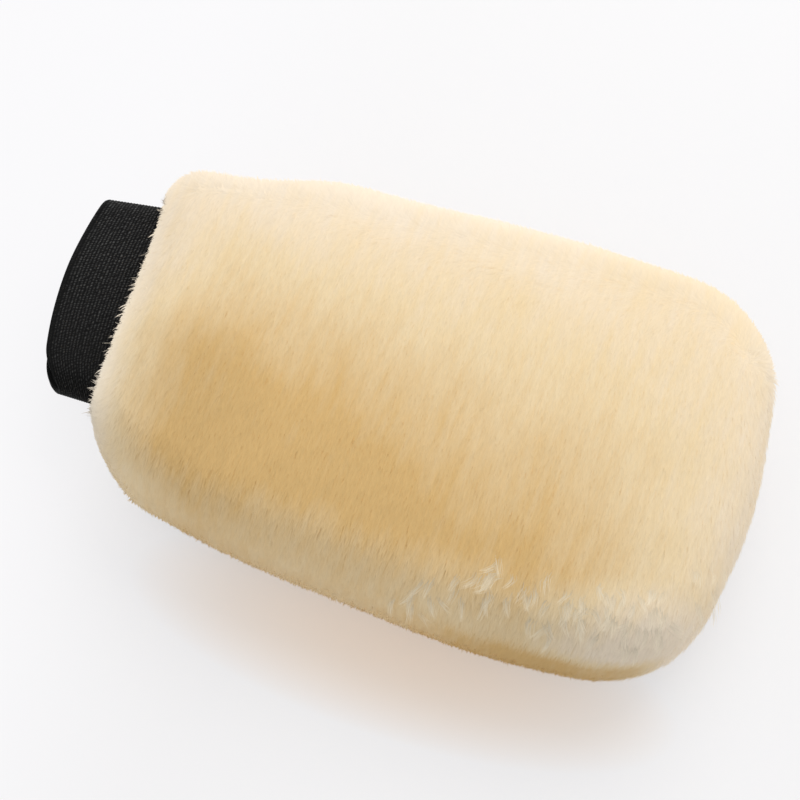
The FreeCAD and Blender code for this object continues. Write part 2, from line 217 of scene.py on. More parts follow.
def rgb(text):
    """A colour written as six hexadecimal digits, as the shader wants it."""
    shares = [int(text[place:place + 2], 16) / 255 for place in (0, 2, 4)]
    return (*[s / 12.92 if s <= 0.04045 else ((s + 0.055) / 1.055) ** 2.4 for s in shares], 1.0)


# The wool's finish: colours and shades by place, in millimetres ----------------------------------

# gold and honey partly stand for painted shade on the near side; fringe and lock are partly painted
# light
CREAM, STRAW, HONEY, FRINGE, LOCK = (rgb(text) for text in
                                     ("F9EAD4", "F3DDB5", "E1BD81", "F6EFE3", "FFF3DA"))
GRAIN_TURN = math.radians(-3)  # the grain runs this far from straight across the mitt
BLOTCH = 34.0
STREAK, HAIR = (3.5, 26.0, 12.0), (0.8, 9.0, 4.0)  # size of the grain along X, Y and Z
BLOTCH_GOLD, STREAK_GOLD = 0.35, 0.45  # how far they make the wool more or less golden
STREAK_SHADE, HAIR_SHADE = 0.06, 0.10  # and how far darker or lighter

TO_STRAW, TO_HONEY, HONEY_FROM = 2.0, 1.8, 0.9  # how soon gold turns cream to straw, to honey
FAR_LINE, FAR_GOLD, GOLD_SLOPE = 45.0, 0.3, 0.0087  # the wool turns golden and darker towards the near side: partly its own tone, partly painted shade away from the lamp
TWIST_LINE, TWIST = 22.0, 0.00005  # the gold spreads wider towards the fingertips
MOST_GOLD = 1.08
NEAR_LINE, NEAR_FADE = -62.0, 0.018  # it pales again past this line, towards the near rim
TIP_LINE, TIP_FADE = 70.0, 78.0  # and past this line, towards the fingertips
WRIST_FADE = (-128.0, -72.0)  # and between these, towards the wrist
UNDER_SEAM, UNDER_ALONG, UNDER_ACROSS = (28.0, 40.0), (10.0, 70.0), (-82.0, -66.0)
SHADE_GOLD_UNDER_SEAM, UNDER_SHADE = 0.5, 0.03  # all five: painted shade below the seam, on the near side, golden and darker
PALE_CORNERS = [  # middle and reach of the near corners, at the wrist and at the fingertips
    ((-105.0, -90.0), (48.0, 32.0)), ((118.0, -86.0), (52.0, 34.0)),
]
CORNER_PALE = 0.5
FRINGE_FADE, FRINGE_SLANT = (-122.0, -100.0), 0.1  # pale tips where the wool meets the cuff, partly painted light on an end that the lamp barely reaches
FRINGE_SHARE, FRINGE_PAINTED_LIGHT = 0.75, 0.15
PAINTED_SHADE_PATCHES = [  # painted shade in patches, where the surface dips near the wrist and on the shaded near side by the fingertips: middle, reach and how much darker
    ((-80.0, -38.0), (40.0, 32.0), 0.08), ((92.0, -80.0), (60.0, 18.0), 0.10),
]

PILE_MARK, LOCK_MARK = 1.0, 1.1  # a strand's own number is below 1 in the pile, from 1.1 in a lock
LOCK_SHARE, LOCK_HIGHLIGHT = 0.6, 0.05  # how much of the locks' colour they take, pale and warmed as painted light, and their painted highlight
OWN_SHADE = 0.03  # how far the shade changes from strand to strand
EVEN_AT, ROOT_SHADE, LOCK_ROOT_SHADE = 0.8, 0.08, 0.16  # and from root to tip: painted shade at the roots, where strands shade each other, more so in a lock
SHADOW_CLEAR, BOUNCE_CLEAR = 0.96, 0.85  # shares of direct and of bounced light let by a strand


def golden_and_shaded(x, y, shade_under_seam, corners):
    """How golden the wool is before its blotches, partly its own tone and partly painted shade: 0 is
    cream, a half straw, 1 nearly all honey.
    """
    nearer = FAR_GOLD + (FAR_LINE - y) * GOLD_SLOPE + x * (y - TWIST_LINE) * TWIST
    near_rim = 1.0 - (NEAR_LINE - y).at_least(0.0) * NEAR_FADE
    past = ((x - TIP_LINE) / TIP_FADE).at_least(0.0)
    golden = nearer.at_most(MOST_GOLD) * near_rim * x.ramp(*WRIST_FADE) * (1.0 - past * past)
    return golden + shade_under_seam * SHADE_GOLD_UNDER_SEAM - corners * (1.0 - shade_under_seam) * CORNER_PALE


def soft_to_light(r, coat, colour):
    """The finish of a strand: light on both sides, and little bar to light that goes past it."""
    seen_behind = r.add("NewGeometry", output=6)
    through = r.add("BsdfTranslucent", {}, {"Color": colour})
    coat = r.add("MixShader", {}, {0: seen_behind, 1: coat, 2: through})
    is_shadow, is_diffuse = r.add("LightPath", output=1), r.add("LightPath", output=2)
    clear = (is_shadow * SHADOW_CLEAR + is_diffuse * BOUNCE_CLEAR).held()
    return r.add("MixShader", {}, {0: clear, 1: coat, 2: r.add("BsdfTransparent")})


def wool_finish(name, on_strand):
    """Shorn wool: golden along the near half, partly its own tone and partly painted shade, straw to
    cream away from there and at the ends.
    """
    r = Recipe(name)
    place = r.place()
    x, y, z = r.parts(place)
    blotch = r.noise(place, BLOTCH, detail=2.0) - 0.5
    streak = r.noise(r.stretched(place, STREAK, GRAIN_TURN), 1.0, detail=3.0) - 0.5
    hair = r.noise(r.stretched(place, HAIR, GRAIN_TURN), 1.0, detail=2.0) - 0.5
    shade_under_seam = (1.0 - z.ramp(*UNDER_SEAM)) * x.ramp(*UNDER_ALONG) * (1.0 - y.ramp(*UNDER_ACROSS))
    corners = sum(r.spot(x, y, middle, reach) for middle, reach in PALE_CORNERS)
    # golden and darker towards the near side, away from the lamp: partly its own tone, partly painted
    # shade
    golden = (golden_and_shaded(x, y, shade_under_seam, corners)
              + blotch * BLOTCH_GOLD + streak * STREAK_GOLD)
    colour = r.blend((golden * TO_STRAW).held(), CREAM, STRAW)
    colour = r.blend((golden * TO_HONEY - HONEY_FROM).held(), colour, HONEY)
    # the fringe: pale tips, partly painted light, lighter in colour and in shade
    fringe = 1.0 - (x + y * FRINGE_SLANT).ramp(*FRINGE_FADE)
    colour = r.blend(fringe * FRINGE_SHARE, colour, FRINGE)
    shade = 1.0 + streak * STREAK_SHADE + hair * HAIR_SHADE + fringe * FRINGE_PAINTED_LIGHT
    # painted shade in patches, where the wool is in shade
    for middle, reach, darker in PAINTED_SHADE_PATCHES:
        shade = shade - r.spot(x, y, middle, reach) * darker
    # painted shade below the seam on the near side
    shade = shade - shade_under_seam * UNDER_SHADE
    if on_strand:
        own, along = r.parts(r.add("UVMap", {"uv_map": "Strand"}))[:2]
        in_lock = own.ramp(PILE_MARK, LOCK_MARK)
        colour = r.blend(in_lock * LOCK_SHARE, colour, LOCK)
        # painted shade at the roots, and painted highlights on the locks
        shade = (shade + (own - 0.5) * (1.0 - in_lock) * OWN_SHADE
                 + (along - EVEN_AT) * (ROOT_SHADE + in_lock * LOCK_ROOT_SHADE)
                 + in_lock * LOCK_HIGHLIGHT)
    colour = r.add("VectorMath", {"operation": "SCALE"}, {0: colour, "Scale": shade})
    coat = r.add("BsdfPrincipled", {}, {"Base Color": colour, "Roughness": 0.8,
                                        "Specular IOR Level": 0.1, "Sheen Weight": 0.08,
                                        "Sheen Roughness": 0.5,
                                        "Sheen Tint": (1.0, 0.94, 0.82, 1.0)})
    return r.finish(soft_to_light(r, coat, colour) if on_strand else coat)


wool_strands = wool_finish("wool_strands", True)
wool_ground = wool_finish("wool_ground", False)


# The wool's body ---------------------------------------------------------------------------------

BODY_GRAIN = 4 * MM  # size of the remeshed body's faces, before they are divided once
SIGHT_FROM, SIGHT_REACH = 8, 150  # millimetres off a point, and the clear way that it needs there
SEAM_SLIT = 0.7 * MM  # points this near to the seam that face up or down lie inside it
LEVEL = 0.8  # a normal that rises or falls by more than this faces up or down
TABLE_HELD = 1.0 * MM  # wool below this height rests on the table
CLOTH_QUALITY, CLOTH_PRESSURE, CLOTH_FRAMES = 6, 4.0, 20
EVENINGS = 12  # times that the cloth's moves are evened out
MOST_SWELL = 2.4 * MM
PILE_HEIGHT = 3.1 * MM  # how far the brushed wool stands out past the body that it grows from
PULLS = [  # place, reach and shift of each pull on the outline, in millimetres
    (-112, 66, 20, -3.5, -1.0), (-91, 80, 14, 0, -9.0), (-72, 84, 12, 0, -3.0),
    (-48, 86, 14, 0, 2.0), (125, 60, 18, -0.5, -1.5), (140, -5, 26, 3.8, 0),
    (134, -50, 20, -2.5, 1.0), (110, -84, 24, -1.0, 3.0), (58, -92, 24, 0, 0.2),
    (16, -92, 26, 0, 1.4), (-34, -88, 24, 0, -0.6), (-82, -82, 20, 0, 1.8),
    (-110, -72, 16, 3.0, 4.5),
]


def alone(piece):
    """Makes a piece the only one selected, and active."""
    bpy.ops.object.select_all(action="DESELECT")
    piece.select_set(True)
    bpy.context.view_layer.objects.active = piece


def apply_modifier(piece, kind, **settings):
    """Adds a modifier with these settings and applies it."""
    modifier = piece.modifiers.new(kind.title(), kind)
    for name, value in settings.items():
        setattr(modifier, name, value)
    alone(piece)
    bpy.ops.object.modifier_apply(modifier=modifier.name)


def read_mesh(piece):
    """Points and normals of a piece's mesh."""
    count = len(piece.data.vertices)
    points, normals = np.empty(count * 3), np.empty(count * 3)
    piece.data.vertices.foreach_get("co", points)
    piece.data.vertices.foreach_get("normal", normals)
    return points.reshape(-1, 3), normals.reshape(-1, 3)


def write_points(piece, points):
    """Moves a piece's points to these places."""
    piece.data.vertices.foreach_set("co", points.ravel())
    piece.data.update()


def faces_outside(points, normals):
    """Which points can see out, rather than across the hollow for the hand or into the seam."""
    outside = np.empty(len(points), bool)
    for number, (point, normal) in enumerate(zip(points, normals)):
        start = Vector(point) + Vector(normal) * SIGHT_FROM * MM
        outside[number] = both_halves.ray_cast(start, Vector(normal), SIGHT_REACH * MM)[0] is None
    in_seam = (abs(points[:, 2] - SEAM) < SEAM_SLIT) & (abs(normals[:, 2]) > LEVEL)
    return outside & ~in_seam


def evened(piece, values, times):
    """Values at a mesh's points, each time moved halfway to the mean of their neighbours."""
    edges = np.empty(len(piece.data.edges) * 2, int)
    piece.data.edges.foreach_get("vertices", edges)
    first, second = edges.reshape(-1, 2).T
    count = np.bincount(edges, minlength=len(values))[:, None]
    for _ in range(times):
        total = np.stack([np.bincount(first, values[second, axis], len(values))
                          + np.bincount(second, values[first, axis], len(values))
                          for axis in range(3)], axis=1)
        values = (values + total / count) / 2
    return values


def swell(piece, loose, most):
    """Lets a piece swell as filled cloth does, evens that out, and scales it to move most at most."""
    before = read_mesh(piece)[0]
    group = piece.vertex_groups.new(name="held")
    group.add(np.flatnonzero(~loose).tolist(), 1.0, "REPLACE")
    cloth = piece.modifiers.new("Cloth", "CLOTH")
    cloth.settings.quality = CLOTH_QUALITY
    cloth.settings.use_pressure = True
    cloth.settings.uniform_pressure_force = CLOTH_PRESSURE
    cloth.settings.effector_weights.gravity = 0
    cloth.settings.vertex_group_mass = "held"
    scene = bpy.context.scene
    for moment in range(1, CLOTH_FRAMES + 1):
        scene.frame_set(moment)
    alone(piece)
    bpy.ops.object.modifier_apply(modifier=cloth.name)
    scene.frame_set(1)
    piece.vertex_groups.clear()
    move = evened(piece, read_mesh(piece)[0] - before, EVENINGS)
    write_points(piece, before + move * most / np.linalg.norm(move, axis=1).max())


def halves_together():
    """The wool of both CAD halves as one tree, to cast rays at."""
    shells = bmesh.new()
    for node in WOOL_HALVES:
        shells.from_mesh(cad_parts[node].data)
    return BVHTree.FromBMesh(shells)


both_halves = halves_together()


def shaped(points, outside):
    """Pulls the outer surface from the solids' even outline to the worn one."""
    moved = points.copy()
    for pull_x, pull_y, reach, shift_x, shift_y in PULLS:
        away = ((points[:, 0] / MM - pull_x)**2 + (points[:, 1] / MM - pull_y)**2) / reach**2
        moved[:, :2] += np.exp(-away / 2)[:, None] * np.array([shift_x, shift_y]) * MM
    return np.where(outside[:, None], moved, points)


def joined_halves():
    """One copy of the wool of both CAD halves, free to be reshaped."""
    body, other = (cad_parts[node].copy() for node in WOOL_HALVES)
    for half in (body, other):
        half.data = half.data.copy()
        half.parent = None
        bpy.context.scene.collection.objects.link(half)
    alone(body)
    other.select_set(True)
    bpy.ops.object.join()
    body.name = "wool_body"
    for key in [key for key in body.keys() if key.startswith("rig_")]:
        del body[key]
    return body


def whole_body():
    """The wool that is too dense to see into, all round the mitt, inside its outer surface."""
    body = joined_halves()
    apply_modifier(body, "REMESH", mode="VOXEL", voxel_size=BODY_GRAIN)
    points, normals = read_mesh(body)
    outside = faces_outside(points, normals)
    on_table = points[:, 2] < TABLE_HELD
    swell(body, outside & ~on_table, MOST_SWELL)
    apply_modifier(body, "SMOOTH", factor=0.5, iterations=4)
    apply_modifier(body, "SUBSURF", levels=1, render_levels=1)
    points, normals = read_mesh(body)
    outside = faces_outside(points, normals)
    points = shaped(points, outside)
    write_points(body, points)
    normals = read_mesh(body)[1]
    points[outside] -= normals[outside] * PILE_HEIGHT
    write_points(body, points)
    alone(body)
    bpy.ops.object.shade_smooth()
    body.data.materials.clear()
    body.data.materials.append(wool_ground)
    return body, outside


def half_of(body, name, node, keep_above):
    """The part of the body on one side of the seam, closed across the cut."""
    half = body.copy()
    half.data = body.data.copy()
    half.name = name
    bpy.context.scene.collection.objects.link(half)
    alone(half)
    bpy.ops.object.mode_set(mode="EDIT")
    bpy.ops.mesh.select_all(action="SELECT")
    bpy.ops.mesh.bisect(plane_co=(0, 0, SEAM), plane_no=(0, 0, 1), use_fill=True,
                        clear_inner=keep_above, clear_outer=not keep_above)
    bpy.ops.mesh.select_all(action="SELECT")
    bpy.ops.mesh.quads_convert_to_tris()
    bpy.ops.object.mode_set(mode="OBJECT")
    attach(half, "root")
    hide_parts(node)


wool_body, wool_outside = whole_body()

# The pile: tapered strands of fibre, brushed across the mitt -------------------------------------

BRUSHED = np.array([-0.03, -1.0, -0.25])  # the way the nap lies, towards the near side
FALLEN = np.array([-0.5, 0.6, -1.0])  # and over the far edge
OVER_CUFF = np.array([-1.0, -0.15, 0.3])  # and at the wrist end
EDGE_FROM, EDGE_OVER = 0.08, 0.3  # how far a normal turns to the far side before the nap falls
WRIST_TURN, WRIST_FROM = 2, 0.6  # how soon a surface that turns to the wrist counts as its end
CUFF_LINE, CUFF_OVER = -107, 6  # strands are shorter past this place, in millimetres
CUT_BELOW_SEAM, CUT_ABOVE_SEAM = 0.75, 0.45  # share taken off them
WANDER, LOCK_WANDER, WRIST_WANDER = 0.12, 0.35, 1.5  # how far they stray, more so at the wrist

NAP_SPACING, NAP_WIDTH, NAP_STRIPS = 0.64, 0.6, 4  # millimetres, millimetres, pieces of each half
NAP_LENGTH, NAP_SPREAD = 7.4, 0.5  # millimetres, as are the four below
SHORTEST, LONGEST = 5, 12
ROOT_DEPTH, TABLE_AIR = 0.8, 0.05  # depth of the roots in the body, least height over the table
ROWS = np.array([0.0, 0.36, 0.7, 1.0])  # share of a strand's length at each of its rows
ROW_WIDTHS = (0.85, 1.0, 0.7)  # of all rows but the last, which is the tip
SLANTS = np.radians([52.0, 70.0, 82.0])  # lean from upright, from row to row
SLANT_SPREAD, TWIST_SPREAD = math.radians(3), math.radians(12)
WIDTH_SPREAD, THINNEST, WIDEST = 0.18, 0.5, 1.6
CLUMP, GATHER, GATHER_BEND = 18, 0.08, 1.5  # strands to a clump, and how its tips draw together
GATHER_FLAT = 0.7  # share of the lift and fall in that move that is left out
LIT_FROM_ABOVE = np.array([0, 0, 0.8])  # strands at the wrist end take their light from above
LIT_ALONG, LIT_SPREAD = 0.02, 0.04  # and all of them nearly as the body under them does

TUFTS = [  # place and reach of each patch of crinkled locks, in millimetres
    (48, -71, 46, 5), (57, -68, 48, 5), (75, -71, 48, 5), (83, -74, 46, 6), (91, -69, 49, 6),
    (99, -65, 50, 5), (109, -71, 46, 7), (113, -62, 49, 4), (128, -46, 48, 6), (30, -79, 39, 6),
]
TUFT_SPACING, TUFT_EDGE = 1.2, 4  # millimetres, as are the five below
LOCK_WIDTH, LOCK_SPREAD, LOCK_LIFT = 0.19, 0.9, 2.0
LOCK_LONGER, LOCK_CURL = 1.8, 2.4
LOCKS_IN_TUFT, FIBRES_IN_LOCK = 9, 11
LOCK_RISE = math.radians(9)
LOCK_GATHER, LOCK_LIT_SPREAD = 0.4, 0.08
CURL_SIDES = (1, -0.5, -1)  # which side a lock bends to, from row to row
rng = np.random.default_rng(7)


def unit(vectors):
    """The same directions, each one long."""
    return vectors / np.maximum(np.linalg.norm(vectors, axis=1, keepdims=True), 1e-12)


def scatter(body, outside, spacing):
    """Roots spread evenly over the outside of a body: their points and normals."""
    data = body.data
    data.calc_loop_triangles()
    corners = np.empty(len(data.loop_triangles) * 3, int)
    data.loop_triangles.foreach_get("vertices", corners)
    points, normals = read_mesh(body)
    corners = corners.reshape(-1, 3)
    corners = corners[outside[corners].all(axis=1)]
    a, b, c = (points[corners[:, place]] for place in range(3))
    areas = np.linalg.norm(np.cross(b - a, c - a), axis=1) / 2
    reach = np.cumsum(areas)
    count = int(reach[-1] / (spacing * MM)**2)
    marks = (np.arange(count) + rng.random(count)) * reach[-1] / count
    chosen = np.minimum(np.searchsorted(reach, marks), len(corners) - 1)
    u, v = rng.random(count), rng.random(count)
    over = u + v > 1
    u[over], v[over] = 1 - u[over], 1 - v[over]
    shares = np.stack([1 - u - v, u, v], axis=1)[:, :, None]
    return ((points[corners[chosen]] * shares).sum(axis=1),
            unit((normals[corners[chosen]] * shares).sum(axis=1)))


def clumps(roots, every):
    """For each root, the number of the root that its clump gathers to."""
    leaders = rng.choice(len(roots), len(roots) // every, replace=False)
    tree = KDTree(len(leaders))
    for leader in leaders:
        tree.insert(roots[leader], int(leader))
    tree.balance()
    return np.array([tree.find(root)[1] for root in roots])


def way_of_nap(normals, wander, wrist):
    """The way that each strand leans, along the surface."""
    over_edge = np.clip((normals[:, 1:2] - EDGE_FROM) / EDGE_OVER, 0, 1)
    lean = BRUSHED * (1 - over_edge) + FALLEN * over_edge + wander
    lean = lean * (1 - wrist) + (OVER_CUFF + wander * WRIST_WANDER) * wrist
    return unit(lean - normals * (lean * normals).sum(axis=1, keepdims=True))


def lay_strands(roots, normals, locks):
    """The line of each strand, from root to tip, as four points, and the way that it faces.

    locks is None for the even pile, or the number of the crinkled lock that each strand is in.
    """
    count = len(roots)
    leader = clumps(roots, CLUMP) if locks is None else np.searchsorted(locks, locks)
    crinkle = 0.0 if locks is None else 1.0
    wander = (rng.normal(0, WANDER, (count, 3))
              + rng.normal(0, LOCK_WANDER, (count, 3))[leader] * crinkle)
    wrist = np.clip(-normals[:, :1] * WRIST_TURN - WRIST_FROM, 0, 1)
    lean = way_of_nap(normals, wander, wrist)
    across = unit(np.cross(lean, normals))
    length = NAP_LENGTH + LOCK_LONGER * crinkle + rng.normal(0, NAP_SPREAD, count)
    length = length.clip(SHORTEST, LONGEST)[:, None] * MM
    by_cuff = np.maximum(wrist, np.clip((CUFF_LINE - roots[:, :1] / MM) / CUFF_OVER, 0, 1))
    length = length * (1 - by_cuff * np.where(roots[:, 2:] < SEAM, CUT_BELOW_SEAM, CUT_ABOVE_SEAM))
    tilt = rng.normal(0, SLANT_SPREAD, count)[:, None] - LOCK_RISE * crinkle
    curl = (rng.random(count) - 0.5)[leader][:, None] * LOCK_CURL * MM * crinkle
    lines = [roots - normals * ROOT_DEPTH * MM]
    for share, slant, side in zip(np.diff(ROWS), SLANTS, CURL_SIDES):
        angle = slant + tilt
        step = share * length * (normals * np.cos(angle) + lean * np.sin(angle))
        lines.append(lines[-1] + step + across * curl * side)
    shift = (lines[3][leader] - lines[3]) * (GATHER + LOCK_GATHER * crinkle)
    shift -= normals * (shift * normals).sum(axis=1, keepdims=True) * GATHER_FLAT
    for row in (1, 2, 3):
        lines[row] = lines[row] + shift * ROWS[row] ** GATHER_BEND
    twist = rng.normal(0, TWIST_SPREAD, count)[:, None]
    across = across * np.cos(twist) + normals * np.sin(twist)
    facing = normals + LIT_FROM_ABOVE * wrist + lean * rng.normal(LIT_ALONG, LIT_SPREAD, (count, 1))
    facing = facing + across * rng.normal(0, LIT_SPREAD + LOCK_LIT_SPREAD * crinkle, (count, 1))
    return lines, across, unit(facing)


STRAND_POINTS = 7  # two at each row but the last, and the tip
FIRST_FACE, SECOND_FACE, TIP_FACE = (0, 1, 3, 2), (2, 3, 5, 4), (4, 5, 6)
POINT_ROWS = [0, 0, 1, 1, 2, 2, 3]
PATCH = [  # where a strand's points lie on its own square of the colour map
    (0.2, 0.15), (0.8, 0.15), (0.2, 0.4), (0.8, 0.4), (0.25, 0.65), (0.75, 0.65), (0.5, 0.85),
]


def strand_points(lines, across, breadth):
    """The points of every strand, strand by strand, none of them in the table."""
    rows = []
    for line, share in zip(lines, ROW_WIDTHS):
        rows += [line - across * breadth * share, line + across * breadth * share]
    points = np.stack(rows + [lines[3]], axis=1)
    points[..., 2] = np.maximum(points[..., 2], TABLE_AIR * MM)
    return points


def strand_faces(count):
    """The corners of every face, all strands' four-sided faces first, and where each starts."""
    first = np.arange(count)[:, None] * STRAND_POINTS
    faces = [first + np.array(face) for face in (FIRST_FACE, SECOND_FACE, TIP_FACE)]
    four_sided = np.arange(count * 2) * len(FIRST_FACE)
    tips = len(four_sided) * len(FIRST_FACE) + np.arange(count) * len(TIP_FACE)
    return np.concatenate([face.ravel() for face in faces]), np.concatenate([four_sided, tips])


def strand_maps(own):
    """Two maps of the strands' points: colour squares, and own number with the way to the tip."""
    count = len(own)
    side = math.ceil(math.sqrt(count))
    square = np.stack([np.arange(count) % side, np.arange(count) // side], axis=1) / side
    baking = (square[:, None, :] + np.array(PATCH) / side).reshape(-1, 2)
    along = np.stack([np.repeat(own, STRAND_POINTS), np.tile(ROWS[POINT_ROWS], count)], axis=1)
    return {"OFBake": baking, "Strand": along}


def strand_mesh(name, roots, normals, width, locks=None):
    """One piece of many tapered strands, each with its own square of the colour map."""
    lines, across, facing = lay_strands(roots, normals, locks)
    count = len(roots)
    breadth = (1 + rng.normal(0, WIDTH_SPREAD, count)).clip(THINNEST, WIDEST)[:, None]
    points = strand_points(lines, across, width * breadth * MM / 2)
    corners, starts = strand_faces(count)
    data = bpy.data.meshes.new(name)
    data.vertices.add(count * STRAND_POINTS)
    data.vertices.foreach_set("co", points.ravel())
    data.loops.add(len(corners))
    data.loops.foreach_set("vertex_index", corners)
    data.polygons.add(len(starts))
    data.polygons.foreach_set("loop_start", starts)
    data.update(calc_edges=True)
    own = rng.random(count) + (0.0 if locks is None else LOCK_MARK)
    for label, values in strand_maps(own).items():
        data.uv_layers.new(name=label).data.foreach_set("uv", values[corners].ravel())
    data.polygons.foreach_set("use_smooth", np.ones(len(starts), bool))
    data.normals_split_custom_set_from_vertices(np.repeat(facing, STRAND_POINTS, axis=0).tolist())
    piece = add_object(name, data)
    data.materials.append(wool_strands)
    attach(piece, "root")
    return piece


def pile(body, outside):
    """The even nap of both halves, each in strips from the near side to the far one."""
    roots, normals = scatter(body, outside, NAP_SPACING)
    for half, above in (("back", True), ("palm", False)):
        own = np.flatnonzero((roots[:, 2] > SEAM) == above)
        order = own[np.argsort(roots[own, 1])]
        for number, chosen in enumerate(np.array_split(order, NAP_STRIPS), start=1):
            piece = strand_mesh(f"{half}_pile_{number}", roots[chosen], normals[chosen], NAP_WIDTH)
            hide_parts(f"{half}_fleece")


def crinkled_locks(body, outside):
    """Fine locks that have sprung up out of the pile, in patches."""
    roots, normals = scatter(body, outside, TUFT_SPACING)
    chosen = []
    for *middle, reach in TUFTS:
        near = np.flatnonzero(np.linalg.norm(roots / MM - middle, axis=1) < reach + TUFT_EDGE)
        chosen += rng.choice(near, min(LOCKS_IN_TUFT, len(near)), replace=False).tolist()
    strand_of = np.repeat(chosen, FIBRES_IN_LOCK)
    locks = np.repeat(np.arange(len(chosen)), FIBRES_IN_LOCK)
    spread = rng.normal(0, LOCK_SPREAD * MM, (len(strand_of), 3))
    spread -= normals[strand_of] * (spread * normals[strand_of]).sum(axis=1, keepdims=True)
    lifted = roots[strand_of] + spread + normals[strand_of] * LOCK_LIFT * MM
    piece = strand_mesh("back_locks", lifted, normals[strand_of], LOCK_WIDTH, locks)
    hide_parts("back_fleece")


pile(wool_body, wool_outside)
crinkled_locks(wool_body, wool_outside)
half_of(wool_body, "back_wool", "back_fleece", True)
half_of(wool_body, "palm_wool", "palm_fleece", False)
bpy.data.objects.remove(wool_body)


# The cuff ----------------------------------------------------------------------------------------

cuff_low, cuff_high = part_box("cuff_band")
TAPE_THICK, TAPE_SINK = 1.9 * MM, 0.3 * MM  # the tape lies a little inside the band's outer face
TAPE_RIBS, RIB_HEIGHT, RIB_POINTS = 38, 0.22 * MM, 4
MOUTH_BEND = 165 * MM  # radius of the mouth's bow
BOW_TO_FAR = 8 * MM  # the bow's crest lies this far to the far side of the middle
MOUTH_IN, BACK_IN = 0.6 * MM, 0.5 * MM  # how far the tape's edges lie inside the band's ends
CORNER_FROM, CORNER_WIDE, CORNER_DEEP = 29 * MM, 14.5 * MM, 10.5 * MM  # the round near corner
FLAT_STEP, BEND_STEP = 1.4 * MM, 1.0 * MM  # about this far from ring to ring of the tape
BUTT_GAP = 0.15 * MM  # from the middle of the underside to either end of the tape
MOUTH_RIM = [(-0.009, -0.35), (-0.014, 0.0), (-0.009, 0.35)]  # shares of width and thickness
BACK_RIM = [(1.006, 0.2), (1.006, -0.2)]
RIPPLES = [(9.0, 1.0, 0.35), (4.3, 0.0, 0.15)]  # millimetres to a radian, start, height
RIPPLE_FADE = 3  # they have faded out a third of the way in
FLARE, FLARE_IN, FLARE_FAR = 4 * MM, 0.5, 40 * MM  # the far side widens towards the wool

ELASTIC_BLACK, PAINTED_ELASTIC_SHEEN = rgb("0D0D0D"), rgb("626262")
YARN_STEP, YARN_SLANT = 1.2, 0.62  # millimetres round the loop, and yarns crossed from rib to rib
STRAY_SIZE, STRAY = 2.5, 2.5  # how soon yarns stray, and by how many yarns
WORN_SIZE, WORN_SCALE, WORN_FROM = 1.1, 2.4, 0.7  # yarns lose and regain their painted sheen
HEM_RIBS, HEM_DULL = (0.8, 2.2), 0.8  # the first ribs at the mouth shine less
NEAR_SHINE, SHINE_FADE = 0.2, (-75.0, 30.0)  # and so does the near side, away from the lamp


def elastic_finish():
    """Black woven elastic: ribs round the loop, each a row of slanting yarns with a dull sheen
    painted into its colour.
    """
    r = Recipe("elastic")
    around, ribs = r.parts(r.add("UVMap", {"uv_map": "Tape"}))[:2]
    rib = (ribs * FULL_TURN).cosine() * -0.5 + 0.5
    tape = r.add("CombineXYZ", {}, {0: around, 1: ribs})
    stray = r.noise(tape, STRAY_SIZE, detail=1.0) * STRAY
    yarn = ((around / YARN_STEP + ribs * YARN_SLANT + stray) * FULL_TURN).sine() * 0.5 + 0.5
    worn = (r.noise(tape, WORN_SIZE, detail=2.0) * WORN_SCALE - WORN_FROM).held()
    hem = 1.0 - ribs.ramp(*HEM_RIBS)
    far_side = r.parts(r.place())[1].ramp(*SHINE_FADE) * (1 - NEAR_SHINE) + NEAR_SHINE
    # painted sheen on the crests of ribs and yarns, fainter on the near side
    light = rib * yarn * worn * (1.0 - hem * HEM_DULL) * far_side
    colour = r.blend(light.held(), ELASTIC_BLACK, PAINTED_ELASTIC_SHEEN)
    weave = r.bump(rib * 0.5 + yarn * 0.5, strength=0.6, distance=0.3 * MM)
    coat = r.add("BsdfPrincipled", {}, {"Base Color": colour, "Roughness": 0.85,
                                        "Specular IOR Level": 0.12, "Sheen Weight": 0.02,
                                        "Normal": weave})
    return r.finish(coat)


def loop_route():
    """The tape's middle line round the loop: places, outward directions and length walked."""
    middle = (cuff_low + cuff_high) / 2
    radius = (cuff_high.z - cuff_low.z - TAPE_THICK) / 2 - TAPE_SINK
    flat = (cuff_high.y - cuff_low.y - TAPE_THICK) / 2 - TAPE_SINK - radius
    run, turn = int(flat / FLAT_STEP), int(math.pi * radius / BEND_STEP)
    below = [(y, -radius, 0, -1) for y in np.linspace(BUTT_GAP, flat, run, endpoint=False)]
    above = [(y, radius, 0, 1) for y in np.linspace(flat, -flat, 2 * run, endpoint=False)]
    below_again = [(y, -radius, 0, -1) for y in np.linspace(-flat, -BUTT_GAP, run)]
    folds = []
    for side in (1, -1):
        angles = np.linspace(-math.pi / 2, math.pi / 2, turn, endpoint=False) * side
        folds.append([(side * flat + side * radius * math.cos(angle), radius * math.sin(angle),
                       side * math.cos(angle), math.sin(angle)) for angle in angles])
    stations = np.array(below + folds[0] + above + folds[1] + below_again)
    stations[:, 1] += middle.z
    steps = np.linalg.norm(np.diff(stations[:, :2], axis=0), axis=1)
    return stations, np.concatenate([[0], np.cumsum(steps)])


